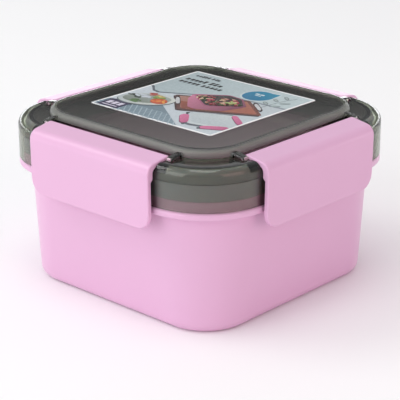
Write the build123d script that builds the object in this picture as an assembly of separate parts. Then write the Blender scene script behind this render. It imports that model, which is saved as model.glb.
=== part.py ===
"""Square lunch box with a clear lid, a silicone seal and four hinged latches.

Millimetres, +Z up.  The origin is the middle of the underside, on the surface that the box stands on.
Every side is alike, so side pieces are drawn for the +X side and turned about Z.
In a side's cross-section the first coordinate runs outwards and the second runs up.
"""
from build123d import *
from math import cos, radians, sin, tan
import os

# ---- Box ----
BASE_HALF = 69.2            # half width of the tub at the floor
BASE_CORNER = 24.7          # its corner radius there
BASE_ROUND = 5.0            # rounding of the bottom edge
WALL_HALF = 74.6            # half width of the tub right under the flange
WALL_CORNER = 35.0
WALL = 2.2                  # tub wall thickness
FLOOR = 2.6                 # tub floor thickness
FOOT_HALF = 54.0            # half width of the hollow inside the foot ring
FOOT_CORNER = 16.0
FOOT_RISE = 0.8             # how far the middle of the underside stands off the table
FLANGE_BOTTOM = 64.35
FLANGE_TOP = 68.3
FLANGE_ROUND_TOP = 1.8
FLANGE_ROUND_BOTTOM = 1.0
RIM_OUTER = 77.0            # half width of the upright rim, outside
RIM_INNER = 75.0
RIM_TOP = 73.6
RIM_STEP_TOP = 67.5         # the inside widens from the wall to the rim up to here
RIM_ROUND = 0.6

# ---- Lid ----
LID_HALF = 80.0             # half width over the skirt, and over the box's flange
LID_CORNER = 37.5
SKIRT_BOTTOM = 68.6
SKIRT_INNER = 78.0          # thin lower stretch of the skirt, inside
SKIRT_STEP = 82.5           # above this height the skirt is thicker
SKIRT_THICK_INNER = 77.0
PLUG_OUTER = 74.0           # inner skirt that dips inside the box's rim
PLUG_INNER = 72.0
PLUG_BOTTOM = 72.3
CHANNEL_ROOF = 86.0
LEDGE = 90.7                # flat ledge round the raised panel
SHOULDER_ROUND = 4.7
LID_WALL = 2.2
PANEL_BASE_HALF = 64.4      # raised panel, at the height of the channel roof
PANEL_TOP_HALF = 63.7
PANEL_CORNER = 24.0
PANEL_TOP = 95.2
PANEL_ROUND = 3.4
POCKET_START = 48.0         # how far from a side's middle the hollows at the corners start

# ---- Latches and their hinges ----
LATCH_HALF = 42.8           # half the latch's length along the side
HINGE_OUT = 70.0            # hinge axis, distance from the middle plane
HINGE_UP = 90.35            # hinge axis, height
BARREL = 2.05               # radius of the latch's rolled inner edge
PIN = 1.0                   # stub pin radius
PIN_PLAY = 0.07             # radial clearance of a pin in its hole
PIN_REACH = 45.2            # where a stub pin ends, along the side
BORE_REACH = 45.8
RECESS_HALF = 43.3          # half length of the hinge recess in the ledge
RECESS_FLOOR = 88.0
RECESS_ROUND = 2.5
LUG = 2.0                   # radius of a hinge lug round the axis
LUG_CREST_OUT = 65.5        # from here inwards the lug is level
LUG_CREST_UP = 93.0
LUG_END = 47.0              # where a lug ends, along the side
LUG_ROUND = 1.2
LATCH_GAP = 0.3             # clearance between a shut latch and the lid
TOP_SLOPE = 9.0             # the latch's top falls outwards, degrees
COVER_OUT_TOP = 84.4        # outer face of the cover plate, near its top
COVER_OUT_BOTTOM = 83.9
COVER_THICK = 2.2
COVER_BOTTOM = 56.2
COVER_STEP = 83.1           # above this height the cover is thicker and fills up to the lid
COVER_STEP_LOW = 81.5       # where the thickening starts
COVER_ROUND = 5.5           # long outer edge
COVER_CORNER = 8.5          # lower corners
EDGE_ROUND = 0.8            # outer edges of the ends and the bottom
HOOK_HALF = 34.0            # half length of the hook rib
HOOK_TIP_OUT = 77.8
HOOK_TIP_TOP = 63.5
HOOK_TIP_BOTTOM = 62.5
HOOK_ROOT_TOP = 64.7
HOOK_ROOT_BOTTOM = 60.7
HOOK_ROUND = 0.4

# ---- Seal ----
SEAL_PLAY = 0.2             # clearance between the seal and its channel, and over the box's rim

# ---- Label ----
LABEL_X = 87.0
LABEL_Y = 85.2
LABEL_SHIFT_X = -0.5
LABEL_SHIFT_Y = 3.2
LABEL_CORNER = 1.5
LABEL_THICK = 0.2

SIDES = {"right": 0, "back": 90, "left": 180, "front": 270}

# ---- Construction ----
OVERLAP = 1.0               # how far joined shapes run into each other, and cuts run past a surface
NEAR = 0.01                 # how closely an edge's height is matched


def outline(half, corner, height):
    """Rounded square, lying flat at a height."""
    return Pos(0, 0, height) * RectangleRounded(2 * half, 2 * half, corner)


def prism(half, corner, bottom, top):
    """Upright rounded square block."""
    return extrude(outline(half, corner, bottom), amount=top - bottom)


def drafted(half, corner, bottom, top_half, top_corner, top):
    """Rounded square block that widens or narrows from bottom to top."""
    return loft([outline(half, corner, bottom), outline(top_half, top_corner, top)])


def edges_at(shape, height):
    """Edges that lie flat at a height."""
    return shape.edges().filter_by_position(Axis.Z, height - NEAR, height + NEAR)


def lid_corner(half):
    """Corner radius of a line that runs parallel to the lid's outside."""
    return LID_CORNER - (LID_HALF - half)


def ring(outer, inner, bottom, top):
    """Ring that runs parallel to the lid's outside."""
    hole = prism(inner, lid_corner(inner), bottom, top)
    return prism(outer, lid_corner(outer), bottom, top) - hole


def along_side(section, start, end):
    """Sweep a cross-section along the +X side, from one place to another."""
    return Pos(0, end, 0) * extrude(Plane.XZ * section, amount=end - start)


def closed_face(points):
    """Flat face with straight edges."""
    return make_face(Polyline(*points, close=True))


def build_box():
    """Tub, flange and rim in one moulding."""
    tub = drafted(BASE_HALF, BASE_CORNER, 0, WALL_HALF, WALL_CORNER, FLANGE_BOTTOM)
    tub = fillet(edges_at(tub, 0), BASE_ROUND)
    flange = prism(LID_HALF, LID_CORNER, FLANGE_BOTTOM, FLANGE_TOP)
    flange = fillet(edges_at(flange, FLANGE_TOP), FLANGE_ROUND_TOP)
    flange = fillet(edges_at(flange, FLANGE_BOTTOM), FLANGE_ROUND_BOTTOM)
    rim = prism(RIM_OUTER, lid_corner(RIM_OUTER), FLANGE_TOP, RIM_TOP)
    rim = fillet(edges_at(rim, RIM_TOP), RIM_ROUND)

    wall_inner = WALL_HALF - WALL
    hollow = drafted(BASE_HALF - WALL, BASE_CORNER - WALL, FLOOR,
                     wall_inner, WALL_CORNER - WALL, FLANGE_BOTTOM)
    hollow = fillet(edges_at(hollow, FLOOR), BASE_ROUND)
    widening = drafted(wall_inner, WALL_CORNER - WALL, FLANGE_BOTTOM,
                       RIM_INNER, lid_corner(RIM_INNER), RIM_STEP_TOP)
    mouth = prism(RIM_INNER, lid_corner(RIM_INNER), RIM_STEP_TOP, RIM_TOP)
    foot_hollow = prism(FOOT_HALF, FOOT_CORNER, 0, FOOT_RISE)
    return tub + flange + rim - hollow - widening - mouth - foot_hollow


def recess_section():
    """What the hinge recess takes out of the ledge, with its outer lip rounded."""
    lip = LID_HALF - RECESS_ROUND
    low = RECESS_FLOOR - RECESS_ROUND
    high = LEDGE + OVERLAP
    outside = LID_HALF + OVERLAP
    inside = PANEL_TOP_HALF - LID_WALL / 2
    floor = Polyline((outside, high), (inside, high), (inside, RECESS_FLOOR), (lip, RECESS_FLOOR))
    rounding = RadiusArc((lip, RECESS_FLOOR), (LID_HALF, low), RECESS_ROUND)
    back = Polyline((LID_HALF, low), (outside, low), (outside, high))
    return make_face(floor + rounding + back)


def build_lug(direction):
    """Hinge lug at one end of the +X recess, still without its hole."""
    inside = PANEL_TOP_HALF - LID_WALL / 2
    web = closed_face([(inside, HINGE_UP - LUG), (HINGE_OUT, HINGE_UP - LUG), (HINGE_OUT, HINGE_UP + LUG),
                       (LUG_CREST_OUT, LUG_CREST_UP), (inside, LUG_CREST_UP)])
    section = web + Pos(HINGE_OUT, HINGE_UP) * Circle(LUG)
    lug = along_side(section, RECESS_HALF, LUG_END)
    lug = fillet(lug.faces().sort_by(Axis.Y)[-1].edges(), LUG_ROUND)
    return lug if direction > 0 else mirror(lug, about=Plane.XZ)


def hinge_rod(radius, start, end, direction):
    """Round rod on the +X hinge axis."""
    middle = direction * (start + end) / 2
    return Pos(HINGE_OUT, middle, HINGE_UP) * Rot(90, 0, 0) * Cylinder(radius, end - start)


def panel_block(inset):
    """Raised panel's block, from the channel roof up, set in by a wall thickness."""
    corner = PANEL_CORNER - inset
    top = PANEL_TOP - inset
    block = drafted(PANEL_BASE_HALF - inset, corner, CHANNEL_ROOF, PANEL_TOP_HALF - inset, corner, top)
    return fillet(edges_at(block, top), PANEL_ROUND - inset)


def build_lid():
    """Clear lid with its channel, recesses and lugs."""
    rail = prism(LID_HALF, LID_CORNER, SKIRT_BOTTOM, LEDGE)
    rail = fillet(edges_at(rail, LEDGE), SHOULDER_ROUND)
    recess = along_side(recess_section(), -RECESS_HALF, RECESS_HALF)
    for angle in SIDES.values():
        rail -= Rot(0, 0, angle) * recess
    lid = rail + panel_block(0)
    for angle in SIDES.values():
        for direction in (-1, 1):
            lid += Rot(0, 0, angle) * build_lug(direction)
            hole = hinge_rod(PIN + PIN_PLAY, RECESS_HALF - OVERLAP, BORE_REACH, direction)
            lid -= Rot(0, 0, angle) * hole

    lid -= prism(PLUG_INNER, lid_corner(PLUG_INNER), SKIRT_BOTTOM, CHANNEL_ROOF)
    lid -= panel_block(LID_WALL)
    lid -= prism(SKIRT_INNER, lid_corner(SKIRT_INNER), SKIRT_BOTTOM, PLUG_BOTTOM)
    lid -= ring(SKIRT_INNER, PLUG_OUTER, PLUG_BOTTOM, SKIRT_STEP)
    lid -= ring(SKIRT_THICK_INNER, PLUG_OUTER, SKIRT_STEP, CHANNEL_ROOF)
    return lid - build_corner_pockets()


def corner_block(half, bottom, top, rounding, keep_out):
    """Block parallel to the lid's outside with a rounded top edge, left only at the four corners."""
    block = prism(half, lid_corner(half), bottom, top)
    block = fillet(edges_at(block, top), rounding)
    length = 2 * LID_HALF
    middle = Pos(0, 0, (bottom + top) / 2)
    block -= middle * Box(length, 2 * keep_out, top - bottom)
    return block - middle * Box(2 * keep_out, length, top - bottom)


def build_corner_pockets():
    """Hollows that keep the ledge and the shoulder thin at the corners, outside the raised panel's wall."""
    top = LEDGE - LID_WALL
    pockets = corner_block(SKIRT_THICK_INNER, SKIRT_STEP, top, SHOULDER_ROUND - LID_WALL, POCKET_START)
    pockets -= ring(PLUG_OUTER, PLUG_INNER, SKIRT_STEP, top)
    return pockets - prism(PANEL_BASE_HALF, PANEL_CORNER, SKIRT_STEP, top)


def build_gasket():
    """Seal with a broad lip under the skirt's step and a narrow stem above it, taller at the corners."""
    inner = PLUG_OUTER + SEAL_PLAY
    stem_outer = SKIRT_THICK_INNER - SEAL_PLAY
    lip = ring(SKIRT_INNER - SEAL_PLAY, inner, RIM_TOP + SEAL_PLAY, SKIRT_STEP)
    stem = ring(stem_outer, inner, SKIRT_STEP, CHANNEL_ROOF)
    top = LEDGE - LID_WALL - SEAL_PLAY
    rounding = SHOULDER_ROUND - LID_WALL - SEAL_PLAY
    corners = corner_block(stem_outer, SKIRT_STEP, top, rounding, POCKET_START + SEAL_PLAY)
    corners -= prism(inner, lid_corner(inner), SKIRT_STEP, top)
    return lip + stem + corners


def cover_section():
    """Latch cross-section without the hook."""
    slope = radians(TOP_SLOPE)
    top_start = (HINGE_OUT + BARREL * sin(slope), HINGE_UP + BARREL * cos(slope))
    corner = (COVER_OUT_TOP, top_start[1] - (COVER_OUT_TOP - top_start[0]) * tan(slope))
    under = HINGE_UP - BARREL
    shoulder_out = LID_HALF + LATCH_GAP
    lip = LID_HALF - RECESS_ROUND
    low = RECESS_FLOOR - RECESS_ROUND
    outer = Polyline((lip, under), (HINGE_OUT, under), top_start, corner,
                     (COVER_OUT_BOTTOM, COVER_BOTTOM),
                     (COVER_OUT_BOTTOM - COVER_THICK, COVER_BOTTOM),
                     (COVER_OUT_TOP - COVER_THICK, COVER_STEP_LOW),
                     (shoulder_out, COVER_STEP), (shoulder_out, low))
    inner = RadiusArc((shoulder_out, low), (lip, under), -(shoulder_out - lip))
    section = make_face(outer + inner)
    section = fillet(section.vertices().sort_by_distance(corner)[0], COVER_ROUND)
    return section + Pos(HINGE_OUT, HINGE_UP) * Circle(BARREL)


def hook_section():
    """Rib that reaches under the box's flange; its top follows its swing past the flange."""
    root = COVER_OUT_BOTTOM - COVER_THICK / 2
    section = closed_face([(root, HOOK_ROOT_TOP), (HOOK_TIP_OUT, HOOK_TIP_TOP),
                           (HOOK_TIP_OUT, HOOK_TIP_BOTTOM), (root, HOOK_ROOT_BOTTOM)])
    tip = section.vertices().sort_by(Axis.X)[:2]
    return fillet(tip, HOOK_ROUND)


def build_cover():
    """Latch cover with rounded lower corners and softened outer edges."""
    cover = along_side(cover_section(), -LATCH_HALF, LATCH_HALF)
    lower = edges_at(cover, COVER_BOTTOM).filter_by(Axis.X)
    cover = fillet(lower, COVER_CORNER)
    outermost = COVER_OUT_BOTTOM - COVER_THICK / 2
    skin = cover.faces().filter_by(lambda face: face.center().X > outermost).sort_by(Axis.X)[-1]
    below_hinge = skin.edges().filter_by(lambda edge: edge.center().Z < HINGE_UP - BARREL - OVERLAP)
    return fillet(below_hinge, EDGE_ROUND)


def build_latch():
    """Latch for the +X side, shut."""
    latch = build_cover() + along_side(hook_section(), -HOOK_HALF, HOOK_HALF)
    for direction in (-1, 1):
        latch += hinge_rod(PIN, LATCH_HALF - OVERLAP, PIN_REACH, direction)
    return latch


def build_label():
    """Printed sticker on the raised panel."""
    sticker = Pos(LABEL_SHIFT_X, LABEL_SHIFT_Y, PANEL_TOP) * RectangleRounded(LABEL_X, LABEL_Y, LABEL_CORNER)
    return extrude(sticker, amount=LABEL_THICK)


os.makedirs("parts", exist_ok=True)
export_step(build_box(), "parts/box_body.step")
export_step(build_lid(), "parts/lid_shell.step")
export_step(build_gasket(), "parts/seal_gasket.step")
export_step(build_label(), "parts/top_label.step")
latch = build_latch()
for side, angle in SIDES.items():
    export_step(Rot(0, 0, angle) * latch, f"parts/latch_{side}.step")
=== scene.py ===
import math
import random

import bmesh
import bpy
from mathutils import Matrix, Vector


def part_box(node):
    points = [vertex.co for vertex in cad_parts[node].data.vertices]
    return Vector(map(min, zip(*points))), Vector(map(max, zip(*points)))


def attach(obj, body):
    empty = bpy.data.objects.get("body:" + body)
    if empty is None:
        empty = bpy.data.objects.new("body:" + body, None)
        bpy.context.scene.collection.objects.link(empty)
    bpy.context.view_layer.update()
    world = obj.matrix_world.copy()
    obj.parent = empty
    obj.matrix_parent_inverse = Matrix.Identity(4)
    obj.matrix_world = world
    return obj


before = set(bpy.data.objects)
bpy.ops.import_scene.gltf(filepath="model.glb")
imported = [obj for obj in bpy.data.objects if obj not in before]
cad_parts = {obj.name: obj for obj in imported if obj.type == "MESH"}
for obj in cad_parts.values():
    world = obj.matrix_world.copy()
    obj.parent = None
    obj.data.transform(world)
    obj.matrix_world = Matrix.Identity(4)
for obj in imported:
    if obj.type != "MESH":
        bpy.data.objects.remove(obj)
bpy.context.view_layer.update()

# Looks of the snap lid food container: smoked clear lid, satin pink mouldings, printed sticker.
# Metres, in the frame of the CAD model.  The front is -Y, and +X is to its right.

# ---- View: angle, distance and lens ----
VIEW_AZIMUTH = 42.57          # degrees, from -Y towards +X
VIEW_ELEVATION = 19.82
VIEW_DISTANCE = 0.8296
VIEW_TARGET = Vector((0, 0, 0.04706))
VIEW_LENS = 136.4
VIEW_SHIFT = (-0.0007, -0.0315)

# ---- Colours, linear ----
PINK = (0.735, 0.432, 0.632)
SMOKE_TINT = (0.98, 0.98, 0.98)
SMOKE_ABSORPTION = (0.12, 0.18, 0.0)
SMOKE_DENSITY = 250.0         # per metre
SHADOW_TINT = (0.92, 0.93, 0.92)
EDGE_DEPTH = 0.0040           # how far the satin edge of the lid's panel reaches down from its top
EDGE_REACH = 0.0648           # and out from the middle planes
EDGE_FADE = 0.0005
EDGE_LEVEL = (0.93, 0.99)     # the satin fades out as a normal's upright share runs from one to the other
EDGE_ROUGHNESS = 0.45
EDGE_CLEARNESS = 0.91
SILICONE = (0.385, 0.375, 0.43)
WHITE_BORDER = (0.96, 0.97, 0.97)

# ---- Surroundings: height of a direction (0 horizon, 1 overhead) and brightness ----
WORLD_STRENGTH = 0.91
WORLD_TINT = (0.97, 0.985, 1.0)
WORLD_FAR = ((0.0, 3.6), (0.10, 3.6), (0.16, 0.18), (0.28, 0.16), (0.33, 0.8), (0.6, 0.7), (1.0, 0.7))
WORLD_NEAR = ((0.0, 0.9), (0.3, 0.55), (1.0, 0.6))
WORLD_BLEND = (-0.2, 0.3)     # share of a direction that points away from the camera: near, then far

# ---- Lamps: name, place, width and depth, watts, colour ----
LAMPS = (("key", (-0.5, -2.6, 1.1), (2.2, 1.8), 28.5, (0.97, 0.98, 1.0)),
         ("fill", (2.5, -0.2, 1.0), (1.6, 1.6), 12.5, (1.0, 0.62, 0.62)),
         ("top", (0.15, -0.25, 2.4), (1.0, 1.0), 8, (1.0, 1.0, 1.0)),
         ("side", (-1.3, -0.95, 1.75), (1.1, 1.1), 12, (1.0, 1.0, 1.0)))
FLOOR_HALF = 3.0              # half width of the floor

# ---- Sticker print ----
BORDER = 0.0013               # unprinted edge of the sticker
INK_STEP = 0.000010           # height that each printed layer stands above the one below
INK_SINK = 0.00005            # how deep every printed shape reaches into the sticker
INK_GRAIN = 0.80              # brightness of the ink's darkest grain
SAME_POINT = 1e-6             # corners nearer than this are one corner
PRINT_SEED = 7
NAPKIN_PITCH = 0.042857        # between the napkin's lines, along the print
NAPKIN_SLOPE = 0.7            # how far up the other lines are spaced for each step along
LETTER_FILL = 0.66            # share of a block's place that the block takes up
LETTER_TALL = 0.72            # height of a low block in its row


# ---------------------------------------------------------------- node helpers
class Nodes:
    """A new material's node tree with short calls."""

    def __init__(self, name):
        self.material = bpy.data.materials.new(name)
        self.material.use_nodes = True
        self.tree = self.material.node_tree
        self.shader = self.tree.nodes["Principled BSDF"]
        self.output = self.tree.nodes["Material Output"]

    def add(self, kind, **values):
        node = self.tree.nodes.new(kind)
        for key, value in values.items():
            setattr(node, key, value)
        return node

    def link(self, source, target):
        self.tree.links.new(source, target)

    def set(self, **values):
        for key, value in values.items():
            socket = self.shader.inputs[key.replace("_", " ")]
            socket.default_value = (*value, 1) if isinstance(value, tuple) and len(value) == 3 else value

    def noise(self, scale, detail=2.0, rough=0.5):
        coords = self.add("ShaderNodeTexCoord")
        node = self.add("ShaderNodeTexNoise")
        node.inputs["Scale"].default_value = scale
        node.inputs["Detail"].default_value = detail
        node.inputs["Roughness"].default_value = rough
        self.link(coords.outputs["Object"], node.inputs["Vector"])
        return node.outputs["Fac"]

    def ranged(self, source, low, high, start=0.3, end=0.7):
        """A value that runs from low to high while the source runs from start to end."""
        node = self.add("ShaderNodeMapRange")
        node.inputs["From Min"].default_value = start
        node.inputs["From Max"].default_value = end
        node.inputs["To Min"].default_value = low
        node.inputs["To Max"].default_value = high
        self.link(source, node.inputs["Value"])
        return node.outputs["Result"]

    def parts(self, vector):
        node = self.add("ShaderNodeSeparateXYZ")
        self.link(vector, node.inputs[0])
        return node.outputs

    def math(self, operation, *sources):
        node = self.add("ShaderNodeMath", operation=operation)
        for source, socket in zip(sources, node.inputs):
            self.link(source, socket)
        return node.outputs[0]

    def mixed(self, factor, first, second):
        node = self.add("ShaderNodeMix", data_type="RGBA")
        self.link(factor, node.inputs["Factor"])
        for socket, colour in ((node.inputs[6], first), (node.inputs[7], second)):
            if isinstance(colour, tuple):
                socket.default_value = (*colour, 1)
            else:
                self.link(colour, socket)
        return node.outputs[2]

    def bump(self, height, strength, distance):
        node = self.add("ShaderNodeBump")
        node.inputs["Strength"].default_value = strength
        node.inputs["Distance"].default_value = distance
        self.link(height, node.inputs["Height"])
        self.link(node.outputs["Normal"], self.shader.inputs["Normal"])


def scaled(colour, by):
    return tuple(min(c * by, 1.0) for c in colour)


def screen(red, green, blue):
    """Linear colour from screen values of 0 to 255."""
    return tuple(((c / 255 + 0.055) / 1.055) ** 2.4 for c in (red, green, blue))


# ---------------------------------------------------------------- materials
def pink_plastic():
    """Satin moulded polypropylene with a very fine spark texture and faint flow mottling."""
    m = Nodes("pink_plastic")
    flow = m.noise(28, 3)
    mottled = m.mixed(m.ranged(flow, 0, 1), scaled(PINK, 0.993), scaled(PINK, 1.007))
    m.link(mottled, m.shader.inputs["Base Color"])
    m.link(m.ranged(m.noise(60, 3), 0.285, 0.32), m.shader.inputs["Roughness"])
    m.set(IOR=1.49)
    m.bump(m.noise(260, 2), 0.15, 0.00004)
    return m.material


def panel_edge(m):
    """1 on the upright edge of the lid's raised panel, 0 elsewhere on the lid."""
    place = m.parts(m.add("ShaderNodeTexCoord").outputs["Object"])
    top = max(vertex.co.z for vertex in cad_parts["lid_shell"].data.vertices)
    above_ledge = m.ranged(place["Z"], 0, 1, top - EDGE_DEPTH - EDGE_FADE, top - EDGE_DEPTH)
    outwards = m.math("MAXIMUM", m.math("ABSOLUTE", place["X"]), m.math("ABSOLUTE", place["Y"]))
    inside_lugs = m.ranged(outwards, 1, 0, EDGE_REACH - EDGE_FADE, EDGE_REACH)
    level = m.math("ABSOLUTE", m.parts(m.add("ShaderNodeNewGeometry").outputs["Normal"])["Z"])
    upright = m.ranged(level, 1, 0, *EDGE_LEVEL)
    return m.math("MULTIPLY", m.math("MULTIPLY", above_ledge, inside_lugs), upright)


def smoked_clear():
    """Polished smoked plastic, dark by its depth, satin on the panel's edge.
    Lamps reach what is inside it, dimmed."""
    m = Nodes("smoked_clear")
    m.set(Base_Color=SMOKE_TINT, IOR=1.50)
    edge = panel_edge(m)
    polished = m.ranged(m.noise(45, 3), 0.02, 0.05)
    m.link(m.math("ADD", polished, m.ranged(edge, 0, EDGE_ROUGHNESS, 0, 1)), m.shader.inputs["Roughness"])
    m.link(m.ranged(edge, 1, EDGE_CLEARNESS, 0, 1), m.shader.inputs["Transmission Weight"])
    m.bump(m.noise(120, 2), 0.05, 0.0002)
    clear = m.add("ShaderNodeBsdfTransparent")
    clear.inputs["Color"].default_value = (*SHADOW_TINT, 1)
    path = m.add("ShaderNodeLightPath")
    mix = m.add("ShaderNodeMixShader")
    m.link(path.outputs["Is Shadow Ray"], mix.inputs[0])
    m.link(m.shader.outputs[0], mix.inputs[1])
    m.link(clear.outputs[0], mix.inputs[2])
    m.link(mix.outputs[0], m.output.inputs["Surface"])
    depth = m.add("ShaderNodeVolumeAbsorption")
    depth.inputs["Color"].default_value = (*SMOKE_ABSORPTION, 1)
    depth.inputs["Density"].default_value = SMOKE_DENSITY
    m.link(depth.outputs[0], m.output.inputs["Volume"])
    return m.material


def silicone():
    """Translucent white seal with a matt bloom."""
    m = Nodes("seal_silicone")
    m.link(m.mixed(m.noise(90, 3), scaled(SILICONE, 0.93), SILICONE), m.shader.inputs["Base Color"])
    m.link(m.ranged(m.noise(200, 2), 0.45, 0.6), m.shader.inputs["Roughness"])
    m.set(Subsurface_Weight=0.3, Subsurface_Scale=0.003)
    m.bump(m.noise(1500, 2), 0.1, 0.00005)
    return m.material


def sticker_paper():
    """White coated paper: the sticker's border."""
    m = Nodes("sticker_paper")
    m.link(m.mixed(m.noise(300, 2), scaled(WHITE_BORDER, 0.95), WHITE_BORDER), m.shader.inputs["Base Color"])
    m.link(m.ranged(m.noise(150, 2), 0.15, 0.22), m.shader.inputs["Roughness"])
    m.bump(m.noise(900, 3), 0.03, 0.00002)
    return m.material


def printed_ink():
    """Glossy ink on the sticker; each shape carries its own colour, broken up by a fine grain."""
    m = Nodes("sticker_ink")
    colour = m.add("ShaderNodeVertexColor", layer_name="ink")
    grain = m.ranged(m.noise(700, 3, 0.7), 0.0, 1.0)
    darker = m.add("ShaderNodeMix", data_type="RGBA", blend_type="MULTIPLY")
    darker.inputs["Factor"].default_value = 1.0
    m.link(colour.outputs["Color"], darker.inputs[6])
    darker.inputs[7].default_value = (INK_GRAIN, INK_GRAIN, INK_GRAIN, 1)
    m.link(m.mixed(grain, darker.outputs[2], colour.outputs["Color"]), m.shader.inputs["Base Color"])
    m.link(m.ranged(m.noise(150, 2), 0.13, 0.19), m.shader.inputs["Roughness"])
    m.set(Specular_IOR_Level=0.35)
    m.bump(m.noise(900, 3), 0.03, 0.00002)
    return m.material


def floor_paint():
    """Matt white paper, very faintly uneven."""
    m = Nodes("floor_paint")
    paper = m.mixed(m.noise(3, 2), (0.965, 0.965, 0.965), (0.975, 0.975, 0.975))
    m.link(paper, m.shader.inputs["Base Color"])
    m.set(Roughness=0.8, Specular_IOR_Level=0.2)
    m.bump(m.noise(40, 2), 0.02, 0.001)
    return m.material


def put_material(node, material):
    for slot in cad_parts[node].material_slots:
        slot.material = material


# ---------------------------------------------------------------- flat outlines, in fractions of the print
UNIT_SQUARE = [(0, 0), (1, 0), (1, 1), (0, 1)]


def neighbours(points):
    return zip(points[-1:] + points[:-1], points, points[1:] + points[:1])


def between(first, second, share):
    return tuple(a + (b - a) * share for a, b in zip(first, second))


def clipped(points, window):
    """The part of an outline that lies inside a convex window, whose corners run anticlockwise."""
    for start, end in zip(window, window[1:] + window[:1]):
        dx, dy = end[0] - start[0], end[1] - start[1]
        depths = [dx * (y - start[1]) - dy * (x - start[0]) for x, y in points]
        kept = []
        for i, here in enumerate(points):
            after = (i + 1) % len(points)
            if depths[i] >= 0:
                kept.append(here)
            if (depths[i] >= 0) != (depths[after] >= 0):
                kept.append(between(here, points[after], depths[i] / (depths[i] - depths[after])))
        points = kept
    return points


def rounded(points, share=0.2, steps=5):
    """Outline with its corners cut round, each over a share of its edges."""
    result = []
    for before, corner, after in neighbours(points):
        first, last = between(corner, before, share), between(corner, after, share)
        for i in range(steps + 1):
            t = i / steps
            result.append(between(between(first, corner, t), between(corner, last, t), t))
    return result


def ellipse(x, y, across, up, turn=0.0, count=18):
    """Ellipse by its middle and half widths, turned anticlockwise by degrees."""
    c, s = math.cos(math.radians(turn)), math.sin(math.radians(turn))
    angles = [math.tau * i / count for i in range(count)]
    ring = [(across * math.cos(angle), up * math.sin(angle)) for angle in angles]
    return [(x + c * a - s * b, y + s * a + c * b) for a, b in ring]


def band(points, width):
    """Stroke of even width along a line."""
    left, right = [], []
    for i, (x, y) in enumerate(points):
        before, after = points[max(i - 1, 0)], points[min(i + 1, len(points) - 1)]
        dx, dy = after[0] - before[0], after[1] - before[1]
        length = math.hypot(dx, dy)
        nx, ny = -dy / length * width / 2, dx / length * width / 2
        left.append((x + nx, y + ny))
        right.append((x - nx, y - ny))
    return right + left[::-1]


def bar(x, y, width, height):
    return [(x, y), (x + width, y), (x + width, y + height), (x, y + height)]


class Sticker:
    """Print on the sticker: flat shapes as thin closed prisms, a later layer's above an earlier one's."""

    def __init__(self, node):
        low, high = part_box(node)
        self.low = (low[0] + BORDER, low[1] + BORDER)
        self.size = (high[0] - low[0] - 2 * BORDER, high[1] - low[1] - 2 * BORDER)
        self.paper = high[2]
        self.mesh = bmesh.new()
        self.ink = self.mesh.loops.layers.float_color.new("ink")
        self.layer = 1

    def next_layer(self):
        self.layer += 1

    def shape(self, points, colour, second=None, along=(0, 1), window=UNIT_SQUARE):
        """One inked shape. With a second colour it runs from the first to it along a direction."""
        points = clipped(points, window)
        points = [p for p, q in zip(points, points[1:] + points[:1]) if math.dist(p, q) > SAME_POINT]
        if len(points) < 3:
            return
        if sum(x0 * y1 - x1 * y0 for (x0, y0), (x1, y1) in zip(points, points[1:] + points[:1])) < 0:
            points = points[::-1]
        reach = [x * along[0] + y * along[1] for x, y in points]
        start, span = min(reach), max(max(reach) - min(reach), 1e-9)
        tones = [between(colour, second or colour, (r - start) / span) for r in reach]
        heights = (self.paper - INK_SINK, self.paper + self.layer * INK_STEP)
        rings = [[self.mesh.verts.new((self.low[0] + x * self.size[0], self.low[1] + y * self.size[1], z))
                  for x, y in points] for z in heights]
        self.face(rings[1], tones)
        self.face(rings[0][::-1], tones[::-1])
        for i in range(len(points)):
            j = (i + 1) % len(points)
            self.face([rings[0][i], rings[0][j], rings[1][j], rings[1][i]],
                      [tones[i], tones[j], tones[j], tones[i]])

    def face(self, corners, tones):
        face = self.mesh.faces.new(corners)
        for loop, tone in zip(face.loops, tones):
            loop[self.ink] = (*tone, 1)

    def finish(self, name):
        bmesh.ops.triangulate(self.mesh, faces=self.mesh.faces[:])
        mesh = bpy.data.meshes.new(name)
        self.mesh.to_mesh(mesh)
        self.mesh.free()
        print_object = bpy.data.objects.new(name, mesh)
        bpy.context.scene.collection.objects.link(print_object)
        return print_object


def draw_ground(s):
    """Table top, a pale board with a soft dark edge, and a checked napkin."""
    s.shape(UNIT_SQUARE, screen(206, 216, 224), screen(196, 206, 210), (1, 1))
    s.next_layer()
    board = [(-0.0286, 0.5714), (0.0214, 0.5457), (0.0857, 0.4829), (0.1429, 0.4686), (0.3286, 0.5714),
             (0.55, 0.7071), (1.0286, 0.7286), (1.0286, 1.0286), (-0.0286, 1.0286)]
    s.shape([(x, y - 0.024) for x, y in board], screen(84, 92, 102), screen(150, 160, 168), (1, 0))
    s.next_layer()
    s.shape(board, screen(174, 190, 194), screen(196, 212, 214), (1, 0.3))
    napkin = [(-0.0143, -0.0143), (0.7429, -0.0143), (0.3571, 0.2643), (0.1714, 0.0857), (-0.0143, 0.1429)]
    s.shape(napkin, screen(104, 126, 140), screen(128, 148, 158), (1, 0))
    s.next_layer()
    field = [(-0.01429, -0.01429), (0.74286, -0.01429), (0.35714, 0.26429),
             (0.12857, 0.14286), (-0.01429, 0.14286)]
    for i in range(-3, 18):
        along = i * NAPKIN_PITCH
        up = along * NAPKIN_SLOPE
        s.shape(band([(0.08571 + along, 0.32857), (0.32857 + along, -0.02857)], 0.007),
                screen(176, 196, 206), window=field)
        s.shape(band([(-0.02857, up - 0.02857), (0.74286, up + 0.14286)], 0.006),
                screen(160, 182, 194), window=field)
    s.next_layer()


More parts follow.
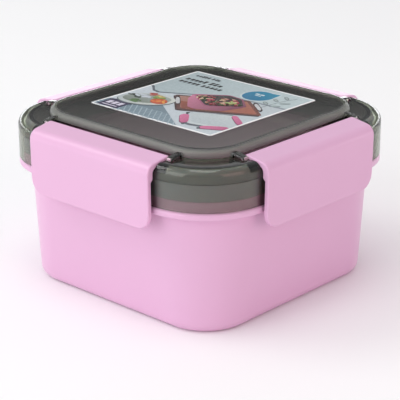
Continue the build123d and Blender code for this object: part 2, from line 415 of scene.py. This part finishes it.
def draw_tray(s):
    """Wooden tray seen from above its corner, with a handle at two sides."""
    for corners, share, first, second in (
            (((0.2643, 0.4686), (0.7143, 0.6929), (0.9857, 0.4829), (0.5, 0.2286)), 0.06,
             (62, 38, 40), (62, 38, 40)),
            (((0.2643, 0.4886), (0.7143, 0.7071), (0.9829, 0.5057), (0.4929, 0.2514)), 0.06,
             (84, 44, 40), (122, 66, 50)),
            (((0.3029, 0.4829), (0.7114, 0.68), (0.9429, 0.5086), (0.4971, 0.2829)), 0.06,
             (168, 122, 108), (166, 92, 68)),
            (((0.3829, 0.4), (0.4714, 0.4286), (0.6, 0.3714), (0.5714, 0.3086), (0.5029, 0.2857)), 0.1,
             (150, 76, 54), (120, 58, 46))):
        s.shape(rounded(corners, share), screen(*first), screen(*second), (1, 0))
        s.next_layer()
    left = ((0.2943, 0.4743), (0.3257, 0.4686), (0.4343, 0.3543),
            (0.4371, 0.3229), (0.4057, 0.3286), (0.3057, 0.44))
    right = ((0.7657, 0.6943), (0.7943, 0.6943), (0.9143, 0.6),
             (0.9229, 0.5629), (0.8943, 0.5714), (0.7743, 0.6629))
    for corners in (left, right):
        hole = rounded(corners, 0.3)
        s.shape(hole, screen(54, 34, 38))
        middle = (sum(x for x, _ in hole) / len(hole), sum(y for _, y in hole) / len(hole))
        s.next_layer()
        s.shape([between(middle, p, 0.72) for p in hole], screen(206, 208, 210))
    s.next_layer()


def draw_meal_box(s):
    """Open pink box with a salad in it."""
    side = ((0.3471, 0.5714), (0.3829, 0.4786), (0.5029, 0.34), (0.56, 0.3286),
            (0.7314, 0.4), (0.7914, 0.5714), (0.5714, 0.4571))
    rim = ((0.3429, 0.5743), (0.5429, 0.7143), (0.6686, 0.6971), (0.7971, 0.5771), (0.5786, 0.4143))
    inside = ((0.3657, 0.5686), (0.5486, 0.7029), (0.6629, 0.6857), (0.7743, 0.5743), (0.5771, 0.4314))
    for corners, share, first, second in ((side, 0.15, (206, 126, 156), (122, 62, 82)),
                                          (rim, 0.12, (186, 104, 138), (126, 64, 88)),
                                          (inside, 0.16, (50, 34, 38), (52, 42, 40))):
        s.shape(rounded(corners, share), screen(*first), screen(*second), (1, 0))
        s.next_layer()
    salad = ((0.37714, 0.56286), (0.48571, 0.62571), (0.64571, 0.65714),
             (0.75714, 0.57714), (0.57429, 0.44857), (0.47143, 0.46857))
    window = rounded(salad, 0.16)[::-1]
    pick = random.Random(PRINT_SEED)
    inks = [screen(*c) for c in ((42, 58, 34), (178, 78, 96), (206, 166, 138), (70, 92, 48),
                                 (104, 36, 52), (222, 192, 164), (190, 140, 124), (158, 58, 74))]
    for i in range(96):
        angle, reach = pick.uniform(0, math.tau), math.sqrt(pick.random())
        x, y = 0.56857 + 0.17429 * reach * math.cos(angle), 0.55429 - 0.1 * reach * math.sin(angle)
        bit = ellipse(x, y, pick.uniform(0.009, 0.024), pick.uniform(0.006, 0.013), pick.uniform(0, 180), 9)
        s.shape(bit, inks[i % len(inks)], window=window)
        if i % 3 == 2:
            s.next_layer()
    for _ in range(5):
        x, y = pick.uniform(0.63, 0.69), pick.uniform(0.56, 0.61)
        bit = ellipse(x, y, 0.016, 0.009, pick.uniform(0, 180), 9)
        s.shape(bit, screen(176, 194, 122), window=window)
        s.next_layer()


def draw_plate(s):
    """Oval dish with a carrot, leaves and pale strips."""
    s.shape(ellipse(0.205, 0.272, 0.196, 0.128, 24, 28), screen(108, 118, 122))
    s.next_layer()
    s.shape(ellipse(0.200, 0.284, 0.194, 0.126, 24, 28),
            screen(214, 219, 212), screen(186, 196, 198), (-1, 0))
    s.next_layer()
    s.shape(ellipse(0.195, 0.290, 0.165, 0.098, 24, 28),
            screen(120, 130, 120), screen(168, 178, 172), (0, 1))
    s.next_layer()
    pick = random.Random(PRINT_SEED + 1)
    groups = (((0.085, 0.285), 0.045, (54, 66, 58), 8), ((0.190, 0.215), 0.050, (84, 118, 66), 8),
              ((0.225, 0.375), 0.030, (214, 196, 120), 5), ((0.175, 0.385), 0.028, (190, 96, 84), 4),
              ((0.130, 0.300), 0.055, (206, 214, 222), 6), ((0.250, 0.345), 0.030, (132, 158, 84), 5))
    for (x, y), spread, colour, count in groups:
        for _ in range(count):
            s.shape(ellipse(x + pick.uniform(-spread, spread), y + pick.uniform(-spread, spread) * 0.6,
                            pick.uniform(0.014, 0.034), pick.uniform(0.006, 0.013), pick.uniform(-20, 50), 9),
                    scaled(screen(*colour), pick.uniform(0.7, 1.25)))
            s.next_layer()
    s.shape(ellipse(0.302, 0.290, 0.058, 0.050, 10), screen(196, 84, 44))
    s.next_layer()
    for i in range(5):
        s.shape(ellipse(0.275 + 0.017 * i, 0.268 + 0.010 * (i * 3 % 5), 0.020, 0.010, 35 * i, 10),
                screen(232, 128 + 8 * i, 66))
        s.next_layer()


def draw_spare_lid(s):
    """Pale lid with pink clips, at the lower right."""
    for corners, first, second, along in (
            (((0.5743, 0.2543), (0.8457, 0.4), (1.0171, 0.2857), (1.0171, 0.1171), (0.7429, 0.0457)),
             (92, 98, 108), (92, 98, 108), (1, 0)),
            (((0.5886, 0.2629), (0.8457, 0.3857), (1.0171, 0.2771), (1.0171, 0.1457), (0.7314, 0.0771)),
             (196, 206, 210), (214, 222, 222), (1, 0)),
            (((0.6286, 0.2571), (0.8429, 0.3543), (1.0, 0.2571), (1.0, 0.1714), (0.7429, 0.1114)),
             (188, 199, 203), (204, 213, 215), (0, 1))):
        s.shape(rounded(corners, 0.14), screen(*first), screen(*second), along)
        s.next_layer()
    left = ((0.5971, 0.2114), (0.6314, 0.22), (0.7257, 0.1057),
            (0.7143, 0.0629), (0.68, 0.0743), (0.5914, 0.1743))
    low = ((0.8429, 0.0771), (0.8571, 0.1114), (0.9657, 0.18),
           (1.0, 0.1743), (1.0, 0.12), (0.86, 0.0457))
    high = ((0.8514, 0.3943), (0.8829, 0.3914), (1.0, 0.3057),
            (1.0, 0.2629), (0.9657, 0.2771), (0.8571, 0.3629))
    for corners in (left, low, high):
        clip = rounded(corners, 0.25)
        s.shape([(x + 0.004, y - 0.010) for x, y in clip], screen(112, 62, 88))
        s.next_layer()
        s.shape(clip, screen(218, 118, 160), screen(196, 96, 140), (1, 0))
    for place in ((0.5971, 0.2429), (0.7257, 0.0571), (0.8571, 0.0514)):
        s.shape(ellipse(*place, 0.012, 0.016, 30, 10), screen(66, 70, 78))
    s.next_layer()


def draw_badge(s):
    """Blue drop with a pale outline, and plain bars in place of words."""
    def drop(radius, tip):
        return [tip] + ellipse(0.6829, 0.8314, radius, radius, 45, 40)[3:-2]
    s.shape(drop(0.122, (0.7943, 0.9543)), screen(206, 220, 222))
    s.next_layer()
    s.shape(drop(0.108, (0.7829, 0.94)), screen(8, 112, 156), screen(24, 140, 172), (0.4, 1))
    s.next_layer()
    for x, y, width, height in ((0.6371, 0.8514, 0.0314, 0.02), (0.6771, 0.8514, 0.0314, 0.02),
                                (0.6514, 0.8286, 0.0486, 0.0114)):
        s.shape(bar(x, y, width, height), screen(214, 232, 236))
    s.next_layer()


def draw_words(s):
    """Rows of plain blocks where printed words would be, and a patch at the lower left."""
    pick = random.Random(PRINT_SEED + 2)
    # left end, foot and height of a row, place for one block, blocks in each word, colour
    rows = ((0.06, 0.9114, 0.0343, 0.0257, (5, 3), (60, 64, 68)),
            (0.0571, 0.8086, 0.0514, 0.0371, (5, 3), (12, 13, 15)),
            (0.0571, 0.74, 0.0514, 0.0343, (5, 5), (12, 13, 15)))
    for left, foot, height, place, words, colour in rows:
        x = left
        for letters in words:
            for _ in range(letters):
                rise = pick.choice((0.0, 0.0, 0.3))
                s.shape(bar(x, foot, place * LETTER_FILL, height * (LETTER_TALL + rise)), screen(*colour))
                x += place + pick.uniform(-0.00286, 0.00429)
            x += place * 0.6
    s.shape(rounded(bar(0.0257, -0.0086, 0.1743, 0.1514), 0.08), screen(44, 32, 76))
    s.next_layer()
    for x, y, width, height in ((0.0486, 0.0543, 0.0343, 0.0543), (0.0957, 0.0543, 0.0343, 0.0543),
                                (0.1429, 0.0543, 0.0343, 0.0543), (0.0486, 0.0229, 0.1286, 0.0114)):
        s.shape(bar(x, y, width, height), screen(222, 216, 232))
    s.next_layer()


def draw_line_sketch(s):
    """Sprig of outlined leaves at the upper right."""
    grey = screen(128, 138, 142)
    stem = [(0.8571, 0.6257), (0.8629, 0.7143), (0.8743, 0.8), (0.8886, 0.88), (0.9143, 0.9429)]
    s.shape(band(stem, 0.006), grey)
    for middle, turn in (((0.82, 0.7371), -35), ((0.9114, 0.72), 40), ((0.8314, 0.8286), -35),
                         ((0.9229, 0.8086), 40), ((0.8543, 0.9114), -40)):
        s.shape(ellipse(*middle, 0.036, 0.015, turn, 16), grey)
        s.next_layer()
        s.shape(ellipse(*middle, 0.030, 0.009, turn, 16), screen(164, 180, 178))


def build_print():
    """Printed picture on the sticker. Drawings that don't overlap share the same heights."""
    sticker = Sticker("top_label")
    draw_ground(sticker)
    ground = sticker.layer
    draw_badge(sticker)
    draw_line_sketch(sticker)
    draw_words(sticker)
    sticker.layer = ground
    draw_spare_lid(sticker)
    draw_tray(sticker)
    tray = sticker.layer
    draw_meal_box(sticker)
    sticker.layer = tray
    draw_plate(sticker)
    picture = sticker.finish("label_picture")
    picture.data.materials.append(printed_ink())
    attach(picture, "lid")


# ---------------------------------------------------------------- stage
def build_camera():
    data = bpy.data.cameras.new("camera")
    data.lens = VIEW_LENS
    data.sensor_width = 36
    data.shift_x, data.shift_y = VIEW_SHIFT
    data.clip_start, data.clip_end = 0.01, 50
    camera = bpy.data.objects.new("camera", data)
    azimuth, elevation = math.radians(VIEW_AZIMUTH), math.radians(VIEW_ELEVATION)
    away = Vector((math.sin(azimuth) * math.cos(elevation), -math.cos(azimuth) * math.cos(elevation),
                   math.sin(elevation)))
    camera.location = VIEW_TARGET + away * VIEW_DISTANCE
    camera.rotation_euler = (-away).to_track_quat("-Z", "Y").to_euler()
    bpy.context.scene.collection.objects.link(camera)
    bpy.context.scene.camera = camera


def build_floor():
    mesh = bpy.data.meshes.new("floor")
    corners = [(x * FLOOR_HALF, y * FLOOR_HALF, 0) for x, y in ((-1, -1), (1, -1), (1, 1), (-1, 1))]
    mesh.from_pydata(corners, [], [(0, 1, 2, 3)])
    floor = bpy.data.objects.new("floor", mesh)
    mesh.materials.append(floor_paint())
    bpy.context.scene.collection.objects.link(floor)


def softbox(name, place, size, power, colour):
    """Square soft lamp that faces the object."""
    data = bpy.data.lights.new(name, "AREA")
    data.shape = "RECTANGLE"
    data.size, data.size_y = size
    data.energy = power
    data.color = colour
    lamp = bpy.data.objects.new(name, data)
    lamp.location = place
    lamp.rotation_euler = (VIEW_TARGET - Vector(place)).to_track_quat("-Z", "Y").to_euler()
    bpy.context.scene.collection.objects.link(lamp)


def world_ramp(tree, height, stops):
    """Grey by the height of a direction, 0 at the horizon and 1 overhead."""
    ramp = tree.nodes.new("ShaderNodeValToRGB")
    tree.links.new(height, ramp.inputs["Fac"])
    elements = ramp.color_ramp.elements
    while len(elements) < len(stops):
        elements.new(0.5)
    for element, (place, value) in zip(elements, stops):
        element.position = place
        element.color = (*(value * tint for tint in WORLD_TINT), 1)
    return ramp.outputs["Color"]


def build_world():
    """White paper round the table, with a dark band above it on the far side and a pale ceiling."""
    world = bpy.data.worlds.new("studio")
    bpy.context.scene.world = world
    world.use_nodes = True
    tree = world.node_tree
    coords = tree.nodes.new("ShaderNodeTexCoord")
    parts = tree.nodes.new("ShaderNodeSeparateXYZ")
    tree.links.new(coords.outputs["Generated"], parts.inputs[0])
    far = tree.nodes.new("ShaderNodeVectorMath")
    far.operation = "DOT_PRODUCT"
    azimuth = math.radians(VIEW_AZIMUTH)
    far.inputs[1].default_value = (-math.sin(azimuth), math.cos(azimuth), 0)
    tree.links.new(coords.outputs["Generated"], far.inputs[0])
    side = tree.nodes.new("ShaderNodeMapRange")
    side.inputs["From Min"].default_value, side.inputs["From Max"].default_value = WORLD_BLEND
    tree.links.new(far.outputs["Value"], side.inputs["Value"])
    mix = tree.nodes.new("ShaderNodeMix")
    mix.data_type = "RGBA"
    tree.links.new(side.outputs["Result"], mix.inputs["Factor"])
    tree.links.new(world_ramp(tree, parts.outputs["Z"], WORLD_NEAR), mix.inputs[6])
    tree.links.new(world_ramp(tree, parts.outputs["Z"], WORLD_FAR), mix.inputs[7])
    tree.links.new(mix.outputs[2], tree.nodes["Background"].inputs["Color"])
    tree.nodes["Background"].inputs["Strength"].default_value = WORLD_STRENGTH


def build_light():
    """A large softbox before the front, weaker ones to the right and above, and one high on the left
    that brightens the long edges of the latches."""
    build_world()
    for lamp in LAMPS:
        softbox(*lamp)
    bpy.context.scene.view_settings.view_transform = "Standard"


# ---------------------------------------------------------------- run
pink = pink_plastic()
for node in ("box_body", "latch_front", "latch_right", "latch_back", "latch_left"):
    put_material(node, pink)
put_material("lid_shell", smoked_clear())
put_material("seal_gasket", silicone())
put_material("top_label", sticker_paper())
build_print()
build_camera()
build_floor()
build_light()
